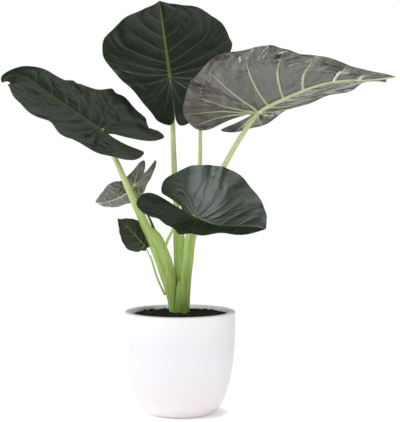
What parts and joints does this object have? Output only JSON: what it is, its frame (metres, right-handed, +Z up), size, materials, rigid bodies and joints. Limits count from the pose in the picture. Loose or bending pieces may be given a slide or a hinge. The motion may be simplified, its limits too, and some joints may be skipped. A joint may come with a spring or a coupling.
{
  "type": "potted regal shields alocasia",
  "caption": "Elephant-ear houseplant with broad, dark, shield-shaped leaves on pale upright stalks, growing in a round-bottomed matte white planter filled with soil.",
  "frame": {"origin": "middle of the planter's flat foot, on the surface it stands on", "axes": "+Z up; +X to the right in the picture, where the largest leaf points; +Y away from the viewer"},
  "size_m": [0.7446, 0.601, 0.8557],
  "materials": {
    "pot": "smooth matte white",
    "soil": null,
    "stalk": null,
    "dark_stalk": null,
    "sheath": null,
    "leaf": null,
    "leaf_underside": null
  },
  "bodies": {
    "root": {"pot": "pot", "stalk_top": "stalk", "stalk_right": "stalk", "stalk_front": "stalk", "stalk_left": "stalk", "stalk_back": "stalk", "stalk_small_back": "dark_stalk", "stalk_young": "stalk", "stalk_small_front": "stalk", "front_sheath": "sheath", "soil": "soil", "blade_top": "leaf", "blade_left": "leaf", "blade_right": "leaf_underside", "blade_front": "leaf", "blade_back": "leaf", "blade_small_back": "leaf_underside", "blade_small_front": "leaf", "blade_young": "leaf"}
  },
  "joints": []
}
